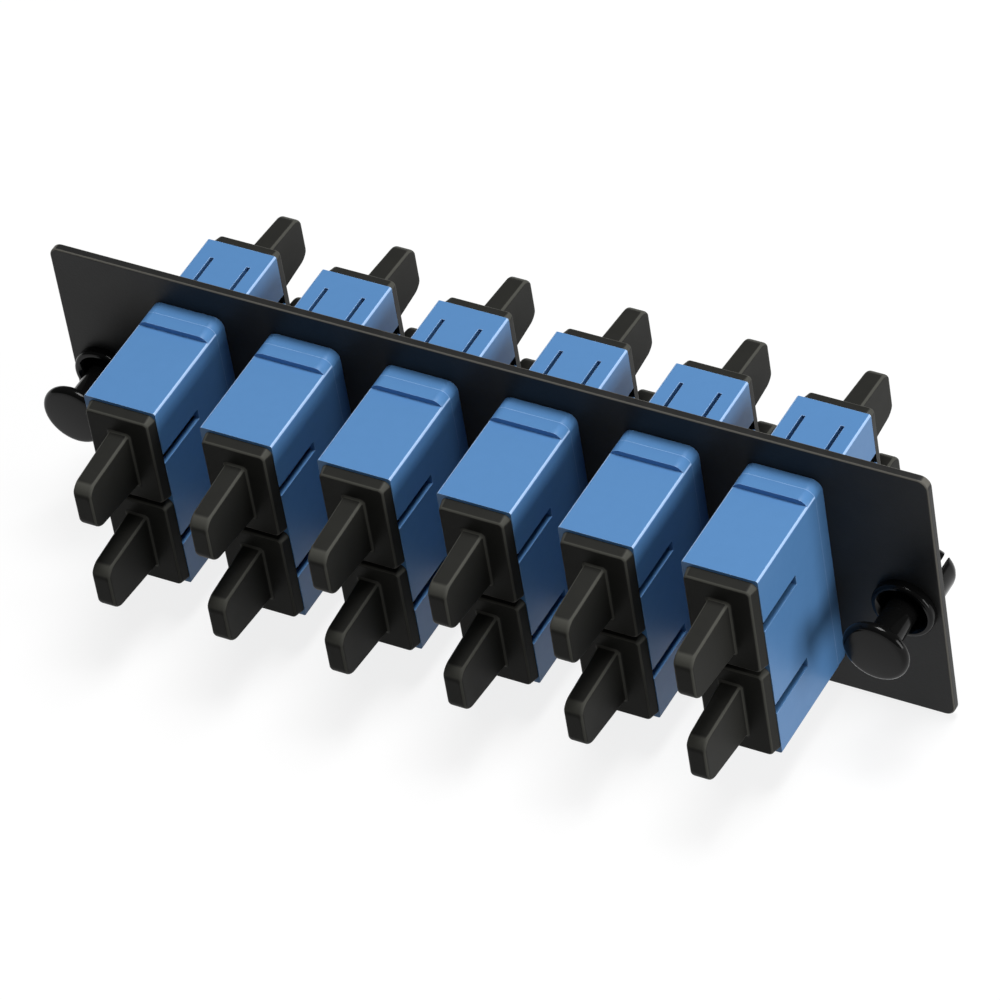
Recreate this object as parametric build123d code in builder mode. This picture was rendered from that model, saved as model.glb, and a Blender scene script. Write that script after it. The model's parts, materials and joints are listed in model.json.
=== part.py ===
"""Fibre adapter plate: a steel plate with duplex fibre adapters, their dust caps and two push-in latches.

Millimetres, +Z up. The origin is the centre of the plate's rear face, the face that seats on the
enclosure. +X runs along the plate and +Y points to the rear, into the enclosure.
"""

import os

from build123d import *

# Plate
plate_width = 111.0
plate_height = 36.0
plate_thickness = 1.1
plate_corner = 1.3
plate_edge = 0.25
cutout_corner = 0.4
punch_round = 0.3

# Row of adapters
adapter_count = 6
row_end_gap = 4.8
cutout_clearance = 0.1

# Ports, for standard push-pull plugs
port_pitch = 12.7
port_width = 7.5
port_height = 9.1
port_lead_in = 0.25
keyway_width = 1.4
keyway_length = 7.8

# Adapter housings
key_wall = 0.7
back_wall = 1.1
end_wall = 2.35
front_reach = 15.8
rear_reach = 11.2
rear_side_step = 0.1
rear_end_step = 0.35
housing_edge = 0.3
collar_lip = 0.7
collar_depth = 3.5
collar_corner = 1.3

# Snap tongue on the rear housing
tongue_slot_spacing = 4.8
tongue_slot_width = 0.5
tongue_reach = 8.5
tongue_thickness = 1.2
barb_length = 3.2
barb_catch = 0.25
barb_clearance = 0.05

# Latch insert in each half of a port
pocket_ledge = 0.2
insert_clearance = 0.05
insert_base = 1.5
holder_wall = 0.35
holder_end = 0.8
sleeve_gap = 0.1
arm_end_room = 1.55
arm_width = 2.6
arm_thickness = 0.8
arm_flex_room = 0.25
hook_length = 1.2
hook_clearance = 0.25

# Split alignment sleeve
sleeve_outer = 3.2
sleeve_inner = 2.5
sleeve_length = 11.4
sleeve_slit = 0.5

# Dust cap
flange_side_step = 0.3
flange_end_step = 0.4
flange_gap = 0.1
flange_thickness = 1.4
flange_corner = 0.9
flange_slope = 0.25
flange_edge = 0.35
fin_thickness = 2.6
fin_height = 7.7
fin_length = 9.0
fin_draft = 0.12
fin_narrowing = 0.7
fin_tip_round = 1.6
fin_edge = 0.3
spigot_length = 1.5
spigot_clearance = 0.15
tube_length = 9.0
tube_wall = 0.45
tube_clearance = 0.25

# Push-in latch
latch_inset = 4.5
right_latch_drop = 2.0
grommet_lip = 0.7
grommet_flange_thickness = 1.2
grommet_edge = 0.4
hub_step = 0.25
leg_diameter = 6.2
leg_reach = 6.4
leg_nose = 1.5
leg_slot_width = 0.8
leg_slot_start = 0.8
leg_slot_turn = 45
hub_clearance = 0.1
countersink_depth = 1.2
countersink_width = 1.0
knob_diameter = 8.0
knob_thickness = 1.5
knob_edge = 0.5
knob_stand_off = 5.6
stem_diameter = 3.8
stem_overlap = 2.0
stem_running_gap = 0.3
stem_nose = 0.4
neck_length = 1.4
neck_flare = 1.0

# Derived places
plate_front = -plate_thickness
front_rim = plate_front - front_reach
rear_rim = rear_reach
seam = plate_front - collar_depth / 2
front_depth = seam - front_rim
rear_depth = rear_rim - seam
front_width = port_width + key_wall + back_wall
front_height = port_pitch + port_height + 2 * end_wall
rear_width = front_width - 2 * rear_side_step
rear_height = front_height - 2 * rear_end_step
collar_height = front_height + 2 * collar_lip
collar_half_depth = collar_depth / 2
cutout_width = rear_width + 2 * cutout_clearance
cutout_height = rear_height + 2 * cutout_clearance
barb_height = cutout_clearance + barb_catch
port_offset = (back_wall - key_wall) / 2
port_places = {"upper": port_pitch / 2, "lower": -port_pitch / 2}
grommet_flange = leg_diameter + 2 * grommet_lip
latch_spacing = plate_width - 2 * latch_inset
latch_places = {"left": (-latch_spacing / 2, 0), "right": (latch_spacing / 2, -right_latch_drop)}
row_length = latch_spacing - grommet_flange - 2 * row_end_gap - front_width
adapter_pitch = row_length / (adapter_count - 1)
adapter_places = [(n - (adapter_count - 1) / 2) * adapter_pitch for n in range(adapter_count)]
pocket_width = port_width + 2 * pocket_ledge
pocket_height = port_height + 2 * pocket_ledge
pocket_depth = insert_base + insert_clearance
holder_inner = sleeve_outer + 2 * sleeve_gap
holder_outer = holder_inner + 2 * holder_wall
holder_length = sleeve_length / 2 + sleeve_gap + holder_end
tube_inner = holder_outer + 2 * tube_clearance
tube_outer = tube_inner + 2 * tube_wall
flange_width = front_width - 2 * flange_side_step
flange_height = (front_height - flange_gap) / 2 - flange_end_step
flange_shift = (flange_height + flange_gap - port_pitch) / 2
hub_diameter = leg_diameter + 2 * hub_step
latch_hole = hub_diameter + 2 * hub_clearance
leg_bore = stem_diameter + 2 * stem_running_gap

os.makedirs("parts", exist_ok=True)


def outward(x, y, z, rear):
    """A plane that faces out of the front or the rear of the plate, with its own y along +Z."""
    side = 1 if rear else -1
    return Plane(origin=(x, y, z), x_dir=(-side, 0, 0), z_dir=(0, side, 0))


def save(piece, name, x=0, z=0):
    """Sets a finished piece at its place on the plate, labels it and writes its STEP file."""
    placed = piece.moved(Location((x, 0, z)))
    placed.label = name
    export_step(placed, f"parts/{name}.step")


def make_plate():
    """The sheet with one cut-out for each adapter and a hole for each latch."""
    rear_face = outward(0, 0, 0, rear=True)
    with BuildPart() as plate:
        with BuildSketch(rear_face):
            RectangleRounded(plate_width, plate_height, plate_corner)
        extrude(amount=-plate_thickness)
        fillet(plate.faces().filter_by(Axis.Y).edges(), radius=plate_edge)
        with BuildSketch(rear_face):
            with GridLocations(adapter_pitch, 0, adapter_count, 1):
                RectangleRounded(cutout_width, cutout_height, cutout_corner)
        extrude(amount=-plate_thickness, mode=Mode.SUBTRACT)
        with BuildSketch(Plane.XZ):
            with Locations(*latch_places.values()):
                Circle(latch_hole / 2)
        extrude(amount=plate_thickness, mode=Mode.SUBTRACT)
        # The punch went in from the rear, which rounds that rim of every hole
        rims = plate.faces().sort_by(Axis.Y)[-1].inner_wires().edges()
        fillet(rims, radius=punch_round)
    return plate.part


def port_hollows(plane, depth, key_side):
    """What is hollow in a housing half: both ports, their insert pockets and keyways, seam at the plane."""
    ports = [(key_side * port_offset, height) for height in port_places.values()]
    keyways = [(key_side * front_width / 2, height) for height in port_places.values()]
    with BuildPart() as hollows:
        with BuildSketch(plane):
            with Locations(ports):
                Rectangle(port_width, port_height)
        extrude(amount=depth)
        with BuildSketch(plane):
            with Locations(ports):
                Rectangle(pocket_width, pocket_height)
        extrude(amount=pocket_depth)
        with BuildSketch(plane.offset(depth - port_lead_in)):
            with Locations(ports):
                Rectangle(port_width + 2 * port_lead_in, port_height + 2 * port_lead_in)
        extrude(amount=port_lead_in)
        with BuildSketch(plane.offset(depth - keyway_length)):
            with Locations(keyways):
                Rectangle(front_width, keyway_width)
        extrude(amount=keyway_length)
    return hollows.part


def make_front_housing():
    """The front half of an adapter, with the front part of the collar that stops on the plate."""
    plane = outward(0, seam, 0, rear=False)
    hollows = port_hollows(plane, front_depth, key_side=1)
    with BuildPart() as housing:
        with BuildSketch(plane):
            RectangleRounded(front_width, front_height, housing_edge)
        extrude(amount=front_depth)
        with BuildSketch(plane):
            RectangleRounded(front_width, collar_height, collar_corner)
        extrude(amount=collar_half_depth)
        add(hollows, mode=Mode.SUBTRACT)
    return housing.part


def tongue_slots():
    """What frees a tongue in the top and bottom wall: two slots, a cross slot and a relief below it."""
    slot_depth = (rear_height - port_pitch - port_height) / 2 + port_lead_in
    relief_width = tongue_slot_spacing + tongue_slot_width
    with BuildPart() as slots:
        for side in (1, -1):
            wall = Plane(origin=(0, 0, side * rear_height / 2), x_dir=(1, 0, 0), z_dir=(0, 0, side))
            rearward = side * tongue_reach / 2
            with BuildSketch(wall):
                with Locations((-tongue_slot_spacing / 2, rearward), (tongue_slot_spacing / 2, rearward)):
                    Rectangle(tongue_slot_width, tongue_reach)
                with Locations((0, -side * plate_thickness / 2)):
                    Rectangle(relief_width, plate_thickness)
            extrude(amount=-slot_depth)
            with BuildSketch(wall.offset(-tongue_thickness)):
                with Locations((0, rearward)):
                    Rectangle(relief_width, tongue_reach)
            extrude(amount=tongue_thickness - slot_depth)
    return slots.part


def make_rear_housing():
    """The rear half of an adapter, which passes through the plate and snaps behind it."""
    plane = outward(0, seam, 0, rear=True)
    side_view = Plane.YZ
    hollows = port_hollows(plane, rear_depth, key_side=-1)
    slots = tongue_slots()
    with BuildPart() as housing:
        with BuildSketch(plane):
            RectangleRounded(rear_width, rear_height, housing_edge)
        extrude(amount=rear_depth)
        with BuildSketch(plane):
            RectangleRounded(front_width, collar_height, collar_corner)
        extrude(amount=collar_half_depth)
        add(hollows, mode=Mode.SUBTRACT)
        add(slots, mode=Mode.SUBTRACT)
        # The wedge on each tongue that catches behind the plate
        for side in (1, -1):
            outer = side * rear_height / 2
            inner = outer - side * tongue_thickness / 2
            crest = outer + side * barb_height
            with BuildSketch(side_view):
                with BuildLine():
                    Polyline(
                        (barb_clearance, inner),
                        (barb_clearance, crest),
                        (barb_clearance + barb_length / 4, crest),
                        (barb_length, outer),
                        (barb_length, inner),
                        close=True,
                    )
                make_face()
            extrude(amount=(tongue_slot_spacing - tongue_slot_width) / 2, both=True)
    return housing.part


def make_inserts(rear):
    """The latch inserts of one adapter half: a base, a sleeve holder and two hooked arms in each port."""
    base_width = pocket_width - 2 * insert_clearance
    base_height = pocket_height - 2 * insert_clearance
    arm_length = (rear_depth if rear else front_depth) - spigot_length - arm_end_room
    arm_outer = port_height / 2 - arm_flex_room
    arm_middle = arm_outer - arm_thickness / 2
    hook_tip = tube_outer / 2 + hook_clearance
    hook_middle = (arm_outer + hook_tip) / 2
    with BuildPart() as inserts:
        for z in port_places.values():
            plane = outward(port_offset, seam, z, rear)
            with BuildSketch(plane):
                Rectangle(base_width, base_height)
            extrude(amount=insert_base)
            with BuildSketch(plane):
                Circle(holder_outer / 2)
            extrude(amount=holder_length)
            with BuildSketch(plane):
                with Locations((0, arm_middle), (0, -arm_middle)):
                    Rectangle(arm_width, arm_thickness)
            extrude(amount=arm_length)
            with BuildSketch(plane.offset(arm_length - hook_length)):
                with Locations((0, hook_middle), (0, -hook_middle)):
                    Rectangle(arm_width, arm_outer - hook_tip)
            extrude(amount=hook_length)
            with BuildSketch(plane):
                Circle(holder_inner / 2)
            extrude(amount=sleeve_length / 2 + sleeve_gap, mode=Mode.SUBTRACT)
            with BuildSketch(plane):
                Circle(sleeve_inner / 2 + sleeve_gap)
            extrude(amount=holder_length, mode=Mode.SUBTRACT)
    return inserts.part


def make_sleeves():
    """The two split sleeves of one adapter, which centre the plugs' ferrules on each other."""
    with BuildPart() as sleeves:
        for z in port_places.values():
            plane = outward(port_offset, seam, z, rear=True)
            with BuildSketch(plane):
                Circle(sleeve_outer / 2)
                Circle(sleeve_inner / 2, mode=Mode.SUBTRACT)
                with Locations((sleeve_outer / 2, 0)):
                    Rectangle(sleeve_outer, sleeve_slit, mode=Mode.SUBTRACT)
            extrude(amount=sleeve_length / 2, both=True)
    return sleeves.part


def make_cap(z, rear):
    """A dust cap: a flange on the housing's rim, a fin to pull it by and a plug inside the port."""
    rim = outward(port_offset, rear_rim if rear else front_rim, z, rear)
    outer_end = flange_shift if z > 0 else -flange_shift
    flange_seat = rim.shift_origin(rim.from_local_coords((0, outer_end, 0)))
    flange_front = flange_seat.offset(flange_thickness - flange_edge)
    front_size = (flange_width - 2 * flange_slope, flange_height - 2 * flange_slope)
    with BuildPart() as cap:
        with BuildSketch(rim.offset(flange_thickness / 4)):
            Rectangle(fin_thickness, fin_height)
        with BuildSketch(rim.offset(flange_thickness + fin_length)):
            Rectangle(fin_thickness - 2 * fin_draft, fin_height - 2 * fin_narrowing)
        loft()
        fin_end = cap.faces().sort_by(Axis(rim.origin, rim.z_dir))[-1]
        fillet(fin_end.edges().filter_by(Axis.X), radius=fin_tip_round)
        fillet(cap.edges(), radius=fin_edge)
        with BuildSketch(flange_seat):
            RectangleRounded(flange_width, flange_height, flange_corner)
        with BuildSketch(flange_front):
            RectangleRounded(*front_size, flange_corner)
        loft()
        with BuildSketch(flange_front):
            RectangleRounded(*front_size, flange_corner)
        extrude(amount=flange_edge, taper=45)
        with BuildSketch(rim):
            Rectangle(port_width - 2 * spigot_clearance, port_height - 2 * spigot_clearance)
        extrude(amount=-spigot_length)
        with BuildSketch(rim.offset(-spigot_length)):
            Circle(tube_outer / 2)
        extrude(amount=spigot_length - tube_length)
        with BuildSketch(rim.offset(-tube_length)):
            Circle(tube_inner / 2)
        extrude(amount=tube_length - spigot_length, mode=Mode.SUBTRACT)
    return cap.part


def make_grommet():
    """The latch's outer piece: a round flange on the plate, a hub in its hole and slotted legs behind it."""
    seat = outward(0, plate_front, 0, rear=True)
    leg_length = plate_thickness + leg_reach
    with BuildPart() as grommet:
        with BuildSketch(seat):
            Circle(leg_diameter / 2)
        extrude(amount=leg_length)
        fillet(grommet.edges().sort_by(Axis.Y)[-1], radius=leg_nose)
        with BuildSketch(seat):
            Circle(hub_diameter / 2)
        extrude(amount=plate_thickness)
        with BuildSketch(seat):
            Circle(grommet_flange / 2)
        extrude(amount=-grommet_flange_thickness)
        fillet(grommet.edges().sort_by(Axis.Y)[0], radius=grommet_edge)
        with BuildSketch(seat.offset(-grommet_flange_thickness)):
            Circle(leg_bore / 2)
        extrude(amount=grommet_flange_thickness + leg_length, mode=Mode.SUBTRACT)
        with BuildSketch(seat.offset(-grommet_flange_thickness)):
            Circle(leg_bore / 2 + countersink_width)
        with BuildSketch(seat.offset(countersink_depth - grommet_flange_thickness)):
            Circle(leg_bore / 2)
        loft(mode=Mode.SUBTRACT)
        with BuildSketch(seat.offset(plate_thickness + leg_slot_start)):
            Rectangle(leg_diameter, leg_slot_width, rotation=leg_slot_turn)
            Rectangle(leg_slot_width, leg_diameter, rotation=leg_slot_turn)
        extrude(amount=leg_length, mode=Mode.SUBTRACT)
    return grommet.part


def make_plunger():
    """The latch's inner piece, drawn out: a round knob, a flared neck and the stem that spreads the legs."""
    knob_back = plate_front - grommet_flange_thickness - knob_stand_off
    back = outward(0, knob_back, 0, rear=True)
    stem_length = knob_stand_off + grommet_flange_thickness + plate_thickness + stem_overlap
    with BuildPart() as plunger:
        with BuildSketch(back):
            Circle(stem_diameter / 2)
        extrude(amount=stem_length)
        fillet(plunger.edges().sort_by(Axis.Y)[-1], radius=stem_nose)
        with BuildSketch(back):
            Circle(stem_diameter / 2 + neck_flare)
        with BuildSketch(back.offset(neck_length)):
            Circle(stem_diameter / 2)
        loft()
        with BuildSketch(back):
            Circle(knob_diameter / 2)
        extrude(amount=-knob_thickness)
        knob_rims = plunger.edges().filter_by(GeomType.CIRCLE).sort_by(SortBy.RADIUS)[-2:]
        fillet(knob_rims, radius=knob_edge)
    return plunger.part


save(make_plate(), "plate")

adapter_pieces = {
    "front_housing": make_front_housing(),
    "rear_housing": make_rear_housing(),
    "front_inserts": make_inserts(rear=False),
    "rear_inserts": make_inserts(rear=True),
    "sleeves": make_sleeves(),
}
caps = {
    (side, level): make_cap(height, rear=side == "rear")
    for side in ("front", "rear")
    for level, height in port_places.items()
}
for number, place in enumerate(adapter_places, start=1):
    for kind, piece in adapter_pieces.items():
        save(piece, f"adapter_{number}_{kind}", place)
    for (side, level), piece in caps.items():
        save(piece, f"{side}_cap_{number}_{level}", place)

latch_pieces = {"grommet": make_grommet(), "plunger": make_plunger()}
for hand, (across, up) in latch_places.items():
    for kind, piece in latch_pieces.items():
        save(piece, f"latch_{hand}_{kind}", across, up)
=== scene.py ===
"""Looks of the fibre adapter plate: coated steel, moulded blue adapters, black caps and push-in latches.

Metres, in the frame of the plate: the origin is the centre of its rear face, +X runs along it, +Y is
behind it and +Z is up.
"""

import json
import math

import bmesh
import bpy
from mathutils import Euler, Matrix, Vector


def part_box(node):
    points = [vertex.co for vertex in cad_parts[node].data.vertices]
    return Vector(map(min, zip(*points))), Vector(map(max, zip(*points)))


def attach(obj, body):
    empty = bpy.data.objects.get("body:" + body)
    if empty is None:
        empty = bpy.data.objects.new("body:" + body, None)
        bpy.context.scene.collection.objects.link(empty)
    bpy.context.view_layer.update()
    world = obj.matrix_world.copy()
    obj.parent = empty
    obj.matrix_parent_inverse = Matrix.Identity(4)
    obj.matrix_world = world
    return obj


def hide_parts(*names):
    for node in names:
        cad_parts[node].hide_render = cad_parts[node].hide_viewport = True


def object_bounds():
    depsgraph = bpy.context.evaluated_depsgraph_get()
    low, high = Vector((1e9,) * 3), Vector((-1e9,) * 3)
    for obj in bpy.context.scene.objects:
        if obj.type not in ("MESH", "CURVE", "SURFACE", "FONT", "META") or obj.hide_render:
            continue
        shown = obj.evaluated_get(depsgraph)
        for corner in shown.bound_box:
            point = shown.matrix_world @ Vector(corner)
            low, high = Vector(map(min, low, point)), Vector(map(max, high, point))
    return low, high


MM = 0.001

# Camera, as it stood for the photograph: a long lens from the front right, above, slightly rolled
CAMERA_PLACE = Vector((341.8, -489.9, 559.2)) * MM
CAMERA_TURN = Euler([math.radians(a) for a in (46.23, 7.34, 27.98)])
SENSOR_WIDTH = 36.0
LENS = 262.4

# Stage
FLOOR_SIZE = 4.0
FLOOR_DROP = 0.5 * MM
FLOOR_GLOW = 0.83
SKY_STRENGTH = 0.12

# Lamps that face the object: name, place, width in metres and power in watts
LAMPS = (
    ("overhead_softbox", (0.10, 0.12, 0.80), 0.32, 5.5),
    ("side_softbox", (0.90, 0.05, 0.22), 0.45, 4.6),
)

# Colours, as sRGB
PLATE_BLACK = "#1E1E1E"
PLATE_FLECK = "#2B2B2A"
# Painted highlight: a paler grey on the plate's edges, standing in for the light those edges catch
PLATE_EDGE_HIGHLIGHT = "#66645E"
HOUSING_BLUE = "#5C8EC5"
HOUSING_CLOUD = "#588AC0"
# Painted highlight: a pale blue on the housings' rounded edges, standing in for the light those edges catch
HOUSING_EDGE_HIGHLIGHT = "#A9C9F2"
CAP_BLACK = "#282826"
CAP_CLOUD = "#2E2E2B"
# Painted highlight: a paler brownish grey on the caps' edges, standing in for the light those edges catch
CAP_EDGE_HIGHLIGHT = "#4E4E49"
NYLON_BLACK = "#0B0B0B"
NYLON_CLOUD = "#101010"
INSERT_WHITE = "#C9C8BE"
INSERT_CLOUD = "#BDBCB2"
ZIRCONIA_WHITE = "#E6E3DA"
ZIRCONIA_CLOUD = "#DAD7CE"
FLOOR_GREY = "#7C7C7C"

# Finishes: a cloud of tone is this many grains wide, and the gloss varies with it by this share
CLOUD_GRAINS = 12
CLOUD_DETAIL = 3.0
CLOUD_ROUGHNESS = 0.55
GRAIN_DETAIL = 2.0
DULLEST = 1.12
GLOSSIEST = 0.88
POLYMER_IOR = 1.5

# A surface counts as an edge, and gets the painted edge highlight, where its normal leans this far from the
# nearest axis, as the cosine of the lean
EDGE_STARTS = 0.965
EDGE_FULL = 0.90

# Rounding that the mould leaves on the housings' edges
HOUSING_ROUND = 0.14 * MM
ROUND_STEPS = 3
ROUND_ANGLE = math.radians(40)
SHARP_ANGLE = math.radians(50)
FLAT_ANGLE = math.radians(0.4)
SAME_POINT = 0.0005 * MM
ROUNDED_MARK = "rounded_edge"

# The collar's own wide corners, this near to the seam, get no painted edge highlight and keep the colour of
# its faces
COLLAR_HALF_DEPTH = 1.75 * MM

# Dust cap
PORT_PITCH = 12.7 * MM
FLANGE_THICKNESS = 1.4 * MM
FLANGE_CORNER = 0.9 * MM
FLANGE_SLOPE = 0.25 * MM
FLANGE_EDGE = 0.35 * MM
FIN_THICKNESS = 2.6 * MM
FIN_HEIGHT = 7.7 * MM
FIN_DRAFT = 0.12 * MM
FIN_NARROWING = 0.7 * MM
FIN_TIP_ROUND = 1.6 * MM
FIN_EDGE = 0.4 * MM
FIN_FOOT = 0.35 * MM
SPIGOT_WIDTH = 7.2 * MM
SPIGOT_HEIGHT = 8.8 * MM
SPIGOT_LENGTH = 1.5 * MM
SPIGOT_CORNER = 0.3 * MM
TUBE_OUTER = 2.75 * MM
TUBE_INNER = 2.3 * MM
TUBE_EDGE = 0.1 * MM
INSIDE = 0.1 * MM
CORNER_STEPS = 6
ROUND_TIP_STEPS = 10
TUBE_STEPS = 48

# Push-in latch
KNOB_THICKNESS = 1.5 * MM
KNOB_EDGE = 0.65 * MM
KNOB_DOME = 0.12 * MM
NECK_LENGTH = 1.4 * MM
NECK_FLARE = 1.0 * MM
STEM_RADIUS = 1.9 * MM
STEM_NOSE = 0.4 * MM
GROMMET_FLANGE = 1.2 * MM
GROMMET_EDGE = 0.4 * MM
HUB_RADIUS = 3.35 * MM
LEG_RADIUS = 3.1 * MM
LEG_BORE = 2.2 * MM
LEG_NOSE = 1.5 * MM
LEG_EDGE = 0.08 * MM
LEG_SLOT = 0.8 * MM
LEG_SLOT_START = 0.8 * MM
LEG_SLOT_TURN = math.radians(45)
COUNTERSINK_DEPTH = 1.2 * MM
COUNTERSINK_WIDTH = 1.0 * MM
TURNED_STEPS = 96
DOME_STEPS = 8
NECK_STEPS = 8


def linear(hex_colour):
    """An sRGB hex colour as linear red, green, blue and alpha."""
    shares = [int(hex_colour[i:i + 2], 16) / 255 for i in (1, 3, 5)]
    return [s / 12.92 if s <= 0.04045 else ((s + 0.055) / 1.055) ** 2.4 for s in shares] + [1.0]


def per_grain(size_mm):
    """The scale of a pattern on Object coordinates whose grains are this many millimetres apart."""
    return 1 / (size_mm * MM)


def add_node(tree, kind, settings=(), inputs=(), links=()):
    """A node of this kind, with its settings, its inputs' values and its inputs' links from other sockets."""
    node = tree.nodes.new(kind)
    for name, value in dict(settings).items():
        setattr(node, name, value)
    for name, value in dict(inputs).items():
        node.inputs[name].default_value = value
    for name, socket in dict(links).items():
        tree.links.new(socket, node.inputs[name])
    return node


def new_material(name):
    """An empty node material, with its output node."""
    material = bpy.data.materials.new(name)
    material.use_nodes = True
    tree = material.node_tree
    tree.nodes.clear()
    return material, tree, add_node(tree, "ShaderNodeOutputMaterial")


def edge_share(tree):
    """How much of an edge a surface is: 0 where it faces along an axis, 1 where it turns the corner; this is
    where the painted edge highlight goes.
    """
    normal = add_node(tree, "ShaderNodeTexCoord").outputs["Normal"]
    lean = add_node(tree, "ShaderNodeVectorMath", {"operation": "ABSOLUTE"}, links={0: normal}).outputs[0]
    axes = add_node(tree, "ShaderNodeSeparateXYZ", links={0: lean}).outputs
    nearest = axes["X"]
    for axis in ("Y", "Z"):
        nearest = add_node(
            tree, "ShaderNodeMath", {"operation": "MAXIMUM"}, links={0: nearest, 1: axes[axis]},
        ).outputs[0]
    return add_node(
        tree, "ShaderNodeMapRange",
        inputs={"From Min": EDGE_STARTS, "From Max": EDGE_FULL}, links={"Value": nearest},
    ).outputs[0]


def marked_edge(tree):
    """How much of an edge a surface is, as marked on the faces of a moulding's rounded edges, where the
    painted highlight goes.
    """
    return add_node(tree, "ShaderNodeAttribute", {"attribute_name": ROUNDED_MARK}).outputs["Fac"]


def moulded_finish(
    name, base, cloud, roughness, grain_mm, relief_mm, specular=0.5, edge=None, marked=False,
):
    """A moulded or coated surface: two close tones, uneven gloss, a fine grain and, if any, edges painted
    paler as a highlight.
    """
    material, tree, output = new_material(name)
    place = add_node(tree, "ShaderNodeTexCoord").outputs["Object"]
    clouds = add_node(
        tree, "ShaderNodeTexNoise",
        inputs={
            "Scale": per_grain(grain_mm * CLOUD_GRAINS), "Detail": CLOUD_DETAIL, "Roughness": CLOUD_ROUGHNESS,
        },
        links={"Vector": place},
    ).outputs["Fac"]
    tone = add_node(
        tree, "ShaderNodeMix", {"data_type": "RGBA"},
        {6: linear(base), 7: linear(cloud)}, {0: clouds},
    ).outputs[2]
    # The edge colour is a painted highlight, mixed in where the surface turns a corner
    if edge:
        share = marked_edge(tree) if marked else edge_share(tree)
        tone = add_node(
            tree, "ShaderNodeMix", {"data_type": "RGBA"}, {7: linear(edge)}, {0: share, 6: tone},
        ).outputs[2]
    gloss = add_node(
        tree, "ShaderNodeMapRange",
        inputs={"To Min": roughness * GLOSSIEST, "To Max": roughness * DULLEST}, links={"Value": clouds},
    ).outputs[0]
    grain = add_node(
        tree, "ShaderNodeTexNoise",
        inputs={"Scale": per_grain(grain_mm), "Detail": GRAIN_DETAIL}, links={"Vector": place},
    ).outputs["Fac"]
    relief = add_node(
        tree, "ShaderNodeBump", inputs={"Strength": 1.0, "Distance": relief_mm * MM}, links={"Height": grain},
    ).outputs[0]
    shader = add_node(
        tree, "ShaderNodeBsdfPrincipled",
        inputs={"Specular IOR Level": specular, "IOR": POLYMER_IOR},
        links={"Base Color": tone, "Roughness": gloss, "Normal": relief},
    )
    tree.links.new(shader.outputs[0], output.inputs["Surface"])
    return material


def paper_floor():
    """White studio paper, which shows as white and keeps the shadow."""
    material, tree, output = new_material("studio_paper")
    ray = add_node(tree, "ShaderNodeLightPath").outputs
    seen = add_node(
        tree, "ShaderNodeMath", {"operation": "MAXIMUM"},
        links={0: ray["Is Camera Ray"], 1: ray["Is Glossy Ray"]},
    ).outputs[0]
    seen = add_node(
        tree, "ShaderNodeMath", {"operation": "MAXIMUM"}, links={0: seen, 1: ray["Is Transmission Ray"]},
    ).outputs[0]
    glow = add_node(
        tree, "ShaderNodeMath", {"operation": "MULTIPLY"}, {1: FLOOR_GLOW}, {0: seen},
    ).outputs[0]
    paper = add_node(tree, "ShaderNodeBsdfDiffuse", inputs={"Color": linear(FLOOR_GREY)})
    lift = add_node(tree, "ShaderNodeEmission", inputs={"Color": (1, 1, 1, 1)}, links={"Strength": glow})
    total = add_node(tree, "ShaderNodeAddShader", links={0: paper.outputs[0], 1: lift.outputs[0]})
    tree.links.new(total.outputs[0], output.inputs["Surface"])
    return material


def rounded_rectangle(width, height, radius):
    """The outline of a rectangle with round corners, as points across and up."""
    outline = []
    for turn, (right, up) in enumerate(((1, 1), (-1, 1), (-1, -1), (1, -1))):
        centre = Vector((right * (width / 2 - radius), up * (height / 2 - radius)))
        for step in range(CORNER_STEPS + 1):
            angle = math.pi / 2 * (turn + step / CORNER_STEPS)
            outline.append(centre + radius * Vector((math.cos(angle), math.sin(angle))))
    return outline


def circle(radius, steps):
    """The outline of a circle, as points across and up."""
    angles = [math.tau * step / steps for step in range(steps)]
    return [radius * Vector((math.cos(angle), math.sin(angle))) for angle in angles]


def round_edge(start, towards, radius, steps=5):
    """The rings of a round edge as (along, inset), from the flat face at start to the full outline."""
    angles = [math.pi / 2 * step / steps for step in range(steps + 1)]
    return [(start + towards * radius * (1 - math.cos(a)), radius * (1 - math.sin(a))) for a in angles]


def skin(bm, rings, ring_shaped=False):
    """A closed skin over rings of points, with flat ends unless the last ring meets the first."""
    loops = [[bm.verts.new(point) for point in ring] for ring in rings]
    pairs = list(zip(loops, loops[1:]))
    if ring_shaped:
        pairs.append((loops[-1], loops[0]))
    else:
        bm.faces.new(loops[0])
        bm.faces.new(loops[-1])
    for one, other in pairs:
        for i, vertex in enumerate(one):
            j = (i + 1) % len(one)
            bm.faces.new((vertex, one[j], other[j], other[i]))


def loft(bm, place, sections):
    """A solid through rounded rectangles, given as (along, width, height, corner)."""
    skin(bm, [
        [place(point.x, point.y, along) for point in rounded_rectangle(width, height, corner)]
        for along, width, height, corner in sections
    ])


def drawn_in(width, height, corner, levels):
    """The sections of a solid whose outline is drawn in by an inset at each (along, inset) level."""
    return [
        (along, width - 2 * inset, height - 2 * inset, max(corner - inset, SAME_POINT))
        for along, inset in levels
    ]


def turned(bm, place, profile, steps, ring_shaped=False):
    """A solid of revolution with a profile of (radius, along) points."""
    rings = [[place(p.x, p.y, along) for p in circle(radius, steps)] for radius, along in profile]
    skin(bm, rings, ring_shaped)


def new_object(name, mesh):
    """An object at the origin that shows this mesh."""
    made = bpy.data.objects.new(name, mesh)
    bpy.context.scene.collection.objects.link(made)
    return made


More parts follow.
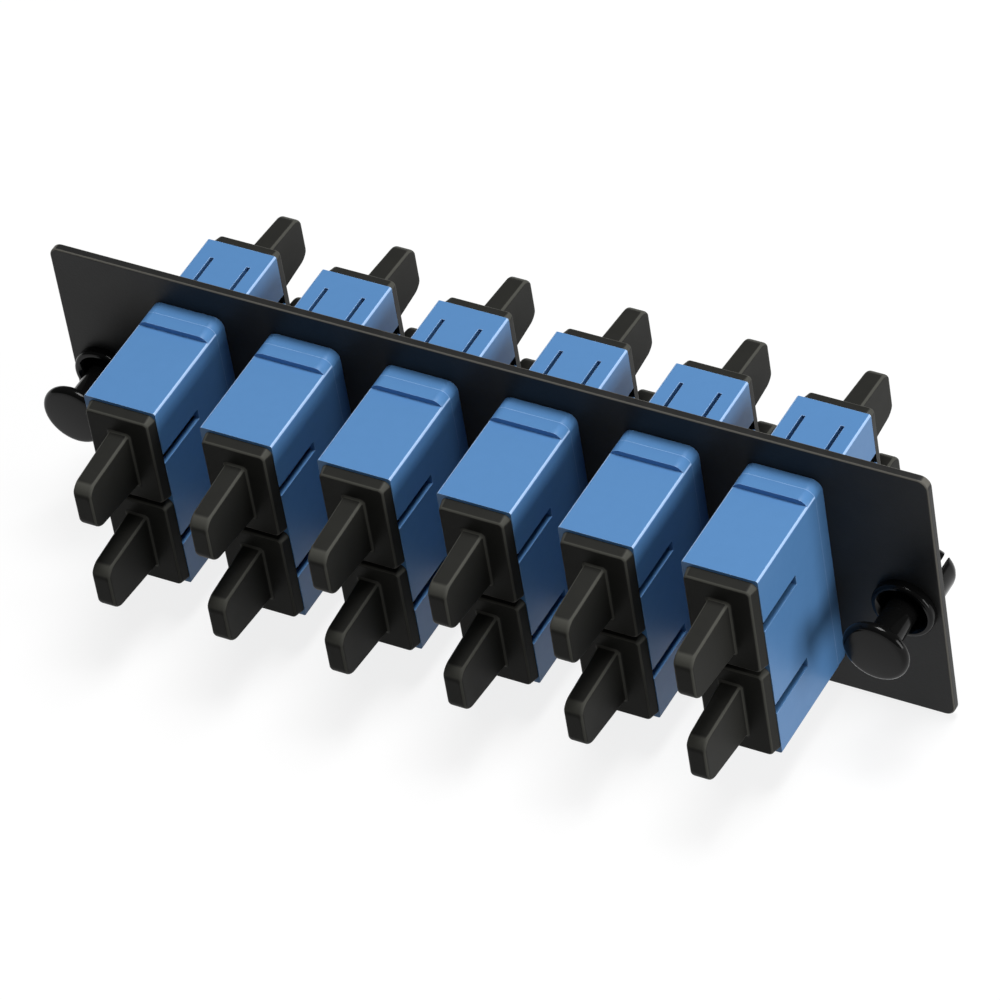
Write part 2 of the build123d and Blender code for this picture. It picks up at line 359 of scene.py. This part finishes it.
def solid(name, bm):
    """An object made of a bmesh whose faces are turned outwards, smooth but for its sharp edges."""
    bmesh.ops.recalc_face_normals(bm, faces=bm.faces)
    mesh = bpy.data.meshes.new(name)
    bm.to_mesh(mesh)
    bm.free()
    mesh.shade_smooth()
    mesh.set_sharp_from_angle(angle=SHARP_ANGLE)
    return new_object(name, mesh)


def bake_modifiers(made):
    """Turns an object's modifiers into its own plain mesh."""
    graph = bpy.context.evaluated_depsgraph_get()
    finished = made.evaluated_get(graph)
    mesh = bpy.data.meshes.new_from_object(finished, preserve_all_data_layers=True, depsgraph=graph)
    made.modifiers.clear()
    made.data = mesh
    return made


def even_shading(made):
    """Makes flat faces shade flat right up to their rounded edges."""
    made.modifiers.new("even_shading", "WEIGHTED_NORMAL").keep_sharp = True
    return bake_modifiers(made)


def dress(made, body, finish, nodes):
    """Gives a piece its finish, its body and the nodes that it stands for."""
    made.data.materials.clear()
    made.data.materials.append(finish)
    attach(made, body)
    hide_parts(*nodes)


def rounded_copy(node):
    """A copy of a moulded node with its sharp edges rounded, and its rounded faces marked for the painted
    edge highlight.
    """
    bm = bmesh.new()
    bm.from_mesh(node.data)
    bmesh.ops.remove_doubles(bm, verts=bm.verts, dist=SAME_POINT)
    bmesh.ops.dissolve_limit(bm, angle_limit=FLAT_ANGLE, verts=bm.verts, edges=bm.edges)
    made = solid(node.name + "_rounded", bm)
    for name in ("flat_faces", "rounded_faces"):
        made.data.materials.append(bpy.data.materials.new(name))
    rounding = made.modifiers.new("rounding", "BEVEL")
    rounding.width = HOUSING_ROUND
    rounding.segments = ROUND_STEPS
    rounding.limit_method = "ANGLE"
    rounding.angle_limit = ROUND_ANGLE
    rounded_slot = len(made.data.materials) - 1
    rounding.material = rounded_slot
    bake_modifiers(made)
    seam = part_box("adapter_1_front_housing")[1].y
    marks = made.data.attributes.new(ROUNDED_MARK, "FLOAT", "FACE")
    for face in made.data.polygons:
        leans = max(abs(share) for share in face.normal) < EDGE_STARTS
        in_collar = abs(face.center.y - seam) < COLLAR_HALF_DEPTH
        is_edge = face.material_index == rounded_slot or (leans and not in_collar)
        marks.data[face.index].value = float(is_edge)
        face.material_index = 0
    made.data.shade_smooth()
    made.data.set_sharp_from_angle(angle=SHARP_ANGLE)
    return even_shading(made)


def row_tree():
    """Geometry nodes that set copies of one moulding along the plate at an even pitch."""
    tree = bpy.data.node_groups.new("adapter_row", "GeometryNodeTree")
    tree.is_modifier = True
    for name, kind in (("Moulding", "Object"), ("Count", "Int"), ("Pitch", "Float"), ("Finish", "Material")):
        tree.interface.new_socket(name, in_out="INPUT", socket_type="NodeSocket" + kind)
    tree.interface.new_socket("Geometry", in_out="OUTPUT", socket_type="NodeSocketGeometry")
    given = add_node(tree, "NodeGroupInput").outputs
    step = add_node(tree, "ShaderNodeCombineXYZ", links={"X": given["Pitch"]}).outputs[0]
    places = add_node(
        tree, "GeometryNodeMeshLine", {"mode": "OFFSET"},
        links={"Count": given["Count"], "Offset": step},
    ).outputs[0]
    moulding = add_node(
        tree, "GeometryNodeObjectInfo", links={"Object": given["Moulding"]},
    ).outputs["Geometry"]
    copies = add_node(
        tree, "GeometryNodeInstanceOnPoints", links={"Points": places, "Instance": moulding},
    ).outputs[0]
    plain = add_node(tree, "GeometryNodeRealizeInstances", links={"Geometry": copies}).outputs[0]
    finished = add_node(
        tree, "GeometryNodeSetMaterial", links={"Geometry": plain, "Material": given["Finish"]},
    ).outputs[0]
    add_node(tree, "NodeGroupOutput", links={"Geometry": finished})
    return tree


def set_inputs(modifier, values):
    """Sets a geometry nodes modifier's inputs by name."""
    for item in modifier.node_group.interface.items_tree:
        if item.item_type == "SOCKET" and item.in_out == "INPUT" and item.name in values:
            modifier[item.identifier] = values[item.name]


def make_row(name, tree, moulding, pitch, finish):
    """A row of one moulding, from its first copy on."""
    row = new_object(name, bpy.data.meshes.new(name))
    modifier = row.modifiers.new("row", "NODES")
    modifier.node_group = tree
    set_inputs(modifier, {"Moulding": moulding, "Count": ADAPTERS, "Pitch": pitch, "Finish": finish})
    return bake_modifiers(row)


def make_housings(finish):
    """The front and rear halves of all adapters."""
    tree = row_tree()
    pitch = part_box("adapter_2_front_housing")[0].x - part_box("adapter_1_front_housing")[0].x
    for half in ("front_housing", "rear_housing"):
        moulding = rounded_copy(frame["nodes"]["adapter_1_" + half])
        row = make_row(half + "s", tree, moulding, pitch, finish)
        bpy.data.objects.remove(moulding)
        dress(row, "panel", finish,
              [f"adapter_{number}_{half}" for number in range(1, ADAPTERS + 1)])


def flange_sections(width, height):
    """The flange's sections from the rim outwards: sloping sides, then a round front edge."""
    front = [(along, FLANGE_SLOPE + inset) for along, inset in round_edge(FLANGE_THICKNESS, -1, FLANGE_EDGE)]
    return drawn_in(width, height, FLANGE_CORNER, [(0, 0)] + front[::-1])


def fin_sections(reach):
    """The fin's sections from the flange to its tip: a round foot, tapering faces and a round tip."""
    length = reach - FLANGE_THICKNESS
    levels = [(FLANGE_THICKNESS - INSIDE, -FIN_FOOT)]
    levels += [(along, -flare) for along, flare in round_edge(FLANGE_THICKNESS, 1, FIN_FOOT)]
    levels += [(along, inset) for along, inset in round_edge(reach, -1, FIN_TIP_ROUND, ROUND_TIP_STEPS)[::-1]]
    sections = []
    for along, inset in levels:
        share = (along - FLANGE_THICKNESS) / length
        past_edge = max(0, along - reach + FIN_EDGE)
        side_inset = min(inset, FIN_EDGE - math.sqrt(max(0, FIN_EDGE ** 2 - past_edge ** 2)))
        width = FIN_THICKNESS - 2 * (FIN_DRAFT * share + side_inset)
        height = FIN_HEIGHT - 2 * (FIN_NARROWING * share + inset)
        sections.append((along, width, height, FIN_EDGE))
    return sections


def make_cap(node, side, finish):
    """A dust cap: a flange on the rim, a fin to pull it by, and a spigot and tube in the port."""
    low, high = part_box(node)
    outward = 1 if side == "rear" else -1
    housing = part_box(f"adapter_1_{side}_housing")
    rim = housing[1].y if side == "rear" else housing[0].y
    tip = high.y if side == "rear" else low.y
    inner = low.y if side == "rear" else high.y
    middle = (low + high) / 2
    port = math.copysign(PORT_PITCH / 2, middle.z)
    depth = (rim - inner) * outward

    def on_flange(across, up, along):
        return middle.x + across, rim + outward * along, middle.z + up

    def on_port(across, up, along):
        return middle.x + across, rim + outward * along, port + up

    bm = bmesh.new()
    loft(bm, on_flange, flange_sections(high.x - low.x, high.z - low.z))
    loft(bm, on_port, fin_sections((tip - rim) * outward))
    loft(bm, on_port, drawn_in(SPIGOT_WIDTH, SPIGOT_HEIGHT, SPIGOT_CORNER,
                               round_edge(-SPIGOT_LENGTH, 1, TUBE_EDGE) + [(INSIDE, 0)]))
    root = -SPIGOT_LENGTH / 2
    wall = [
        (TUBE_OUTER, root), (TUBE_OUTER, TUBE_EDGE - depth), (TUBE_OUTER - TUBE_EDGE, -depth),
        (TUBE_INNER + TUBE_EDGE, -depth), (TUBE_INNER, TUBE_EDGE - depth), (TUBE_INNER, root),
    ]
    turned(bm, on_port, wall, TUBE_STEPS, ring_shaped=True)
    cap = even_shading(solid(node + "_moulded", bm))
    dress(cap, node, finish, [node])


def make_plunger(hand, finish):
    """The latch's knob, flared neck and stem, in one turned piece."""
    node = f"latch_{hand}_plunger"
    low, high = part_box(node)
    middle = (low + high) / 2
    knob = (high.x - low.x) / 2
    neck = low.y + KNOB_THICKNESS
    crown = knob - KNOB_EDGE
    face = [
        (crown * step / DOME_STEPS, low.y + KNOB_DOME * (step / DOME_STEPS) ** 2)
        for step in range(1, DOME_STEPS)
    ]
    face += [(knob - inset, along) for along, inset in round_edge(low.y + KNOB_DOME, 1, KNOB_EDGE)]
    back = [(knob - inset, along) for along, inset in round_edge(neck, -1, KNOB_EDGE)][::-1]
    turns = [math.pi / 2 * step / NECK_STEPS for step in range(NECK_STEPS + 1)]
    flare = [
        (STEM_RADIUS + NECK_FLARE * (1 - math.sin(a)), neck + NECK_LENGTH * (1 - math.cos(a)))
        for a in turns
    ]
    nose = [(STEM_RADIUS - inset, along) for along, inset in round_edge(high.y, -1, STEM_NOSE)][::-1]
    bm = bmesh.new()
    turned(bm, lambda across, up, along: (middle.x + across, along, middle.z + up),
           face + back + flare + nose, TURNED_STEPS)
    dress(even_shading(solid(node + "_turned", bm)), node, finish, [node])


def make_grommet(hand, finish):
    """The latch's flange with its countersunk bore, its hub in the plate and its four legs behind it."""
    node = f"latch_{hand}_grommet"
    low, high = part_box(node)
    middle = (low + high) / 2
    rim = (high.x - low.x) / 2
    seat = low.y + GROMMET_FLANGE
    flange = [(rim - inset, along) for along, inset in round_edge(low.y, 1, GROMMET_EDGE)]
    hub = [(HUB_RADIUS, seat), (HUB_RADIUS, PLATE_REAR), (LEG_RADIUS, PLATE_REAR)]
    nose = [(LEG_RADIUS - inset, along) for along, inset in round_edge(high.y, -1, LEG_NOSE)][::-1]
    nose = [(max(radius, LEG_BORE + LEG_EDGE), along) for radius, along in nose if radius > LEG_BORE]
    bore = [(LEG_BORE, nose[-1][1]), (LEG_BORE, low.y + COUNTERSINK_DEPTH)]
    bore.append((LEG_BORE + COUNTERSINK_WIDTH, low.y))
    bm = bmesh.new()
    turned(bm, lambda across, up, along: (middle.x + across, along, middle.z + up),
           flange + [(rim, seat)] + hub + nose + bore, TURNED_STEPS, ring_shaped=True)
    grommet = solid(node + "_turned", bm)
    bm = bmesh.new()
    start = PLATE_REAR + LEG_SLOT_START
    for width, height in ((LEG_SLOT, 4 * LEG_RADIUS), (4 * LEG_RADIUS, LEG_SLOT)):
        corners = [Vector((a * width / 2, b * height / 2)) for a, b in ((1, 1), (-1, 1), (-1, -1), (1, -1))]
        outline = [Matrix.Rotation(LEG_SLOT_TURN, 2) @ corner for corner in corners]
        skin(bm, [
            [(middle.x + p.x, along, middle.z + p.y) for p in outline] for along in (start, high.y + MM)
        ])
    cutter = solid("leg_slots", bm)
    cut = grommet.modifiers.new("leg_slots", "BOOLEAN")
    cut.operation = "DIFFERENCE"
    cut.object = cutter
    cut.use_self = True
    bake_modifiers(grommet)
    bpy.data.objects.remove(cutter)
    grommet.data.shade_smooth()
    grommet.data.set_sharp_from_angle(angle=ROUND_ANGLE)
    dress(even_shading(grommet), "panel", finish, [node])


def make_stage(low):
    """The floor, the lamps, the sky and the camera."""
    half = FLOOR_SIZE / 2
    height = low.z - FLOOR_DROP
    bm = bmesh.new()
    corners = ((-half, -half), (half, -half), (half, half), (-half, half))
    bm.faces.new([bm.verts.new((x, y, height)) for x, y in corners])
    floor = solid("floor", bm)
    floor.data.materials.append(paper_floor())

    for name, place, width, power in LAMPS:
        lamp = bpy.data.lights.new(name, "AREA")
        lamp.size = width
        lamp.energy = power
        rig = new_object(name, lamp)
        rig.location = place
        rig.rotation_euler = (-Vector(place)).to_track_quat("-Z", "Y").to_euler()

    world = bpy.data.worlds.new("studio")
    world.use_nodes = True
    sky = world.node_tree.nodes["Background"].inputs
    sky["Color"].default_value = (1, 1, 1, 1)
    sky["Strength"].default_value = SKY_STRENGTH
    bpy.context.scene.world = world

    lens = bpy.data.cameras.new("camera")
    lens.sensor_width = SENSOR_WIDTH
    lens.lens = LENS
    lens.clip_end = 10.0
    camera = new_object("camera", lens)
    camera.location = CAMERA_PLACE
    camera.rotation_euler = CAMERA_TURN
    bpy.context.scene.camera = camera


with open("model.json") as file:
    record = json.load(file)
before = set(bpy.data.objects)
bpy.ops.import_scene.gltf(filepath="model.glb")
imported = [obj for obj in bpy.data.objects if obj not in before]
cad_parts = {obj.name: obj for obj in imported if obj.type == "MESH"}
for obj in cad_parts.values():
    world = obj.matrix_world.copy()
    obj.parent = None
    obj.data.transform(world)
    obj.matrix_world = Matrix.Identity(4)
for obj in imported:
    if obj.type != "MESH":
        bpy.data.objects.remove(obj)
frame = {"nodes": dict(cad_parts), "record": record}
cad_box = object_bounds()
slots = {entry["node"]: entry["material_slot"] for entry in frame["record"]["subparts"]}
ADAPTERS = sum(name.endswith("_front_housing") for name in frame["nodes"])
PLATE_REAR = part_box("plate")[1].y

finishes = {
    # Powder coat, baked on steel: satin, with the finest orange peel, and a greyer painted highlight on its
    # edges
    "powder_coated_steel": moulded_finish(
        "powder_coated_steel", PLATE_BLACK, PLATE_FLECK,
        roughness=0.45, grain_mm=0.25, relief_mm=0.012, specular=0.2, edge=PLATE_EDGE_HIGHLIGHT,
    ),
    # Injection-moulded polyester: an even satin blue whose rounded edges carry a thin pale line, a painted
    # highlight
    "blue_housing_plastic": moulded_finish(
        "moulded_blue_pbt", HOUSING_BLUE, HOUSING_CLOUD,
        roughness=0.36, grain_mm=0.12, relief_mm=0.002, specular=0.28, edge=HOUSING_EDGE_HIGHLIGHT, marked=True,
    ),
    # Soft moulded polyethylene: a waxy, nearly dull black with brownish painted highlights on its edges
    "black_cap_plastic": moulded_finish(
        "soft_black_polyethylene", CAP_BLACK, CAP_CLOUD,
        roughness=0.5, grain_mm=0.2, relief_mm=0.004, specular=0.06, edge=CAP_EDGE_HIGHLIGHT,
    ),
    # Nylon from a polished mould: deep black with small sharp highlights
    "black_nylon": moulded_finish(
        "glossy_black_nylon", NYLON_BLACK, NYLON_CLOUD,
        roughness=0.14, grain_mm=0.3, relief_mm=0.001, specular=0.15,
    ),
    # Uncoloured moulded plastic: a warm off-white with a low gloss
    "insert_plastic": moulded_finish(
        "natural_insert_plastic", INSERT_WHITE, INSERT_CLOUD,
        roughness=0.4, grain_mm=0.15, relief_mm=0.002,
    ),
    # Zirconia, ground and polished: a dense, glossy ivory
    "zirconia_ceramic": moulded_finish(
        "ground_zirconia", ZIRCONIA_WHITE, ZIRCONIA_CLOUD,
        roughness=0.2, grain_mm=0.1, relief_mm=0.001,
    ),
}
for name, node in frame["nodes"].items():
    node.data.materials.clear()
    node.data.materials.append(finishes[slots[name]])

make_housings(finishes["blue_housing_plastic"])
for name in frame["nodes"]:
    if "_cap_" in name:
        make_cap(name, name.split("_")[0], finishes["black_cap_plastic"])
for hand in ("left", "right"):
    make_plunger(hand, finishes["black_nylon"])
    make_grommet(hand, finishes["black_nylon"])

make_stage(cad_box[0])
bpy.context.scene.view_settings.view_transform = "Standard"
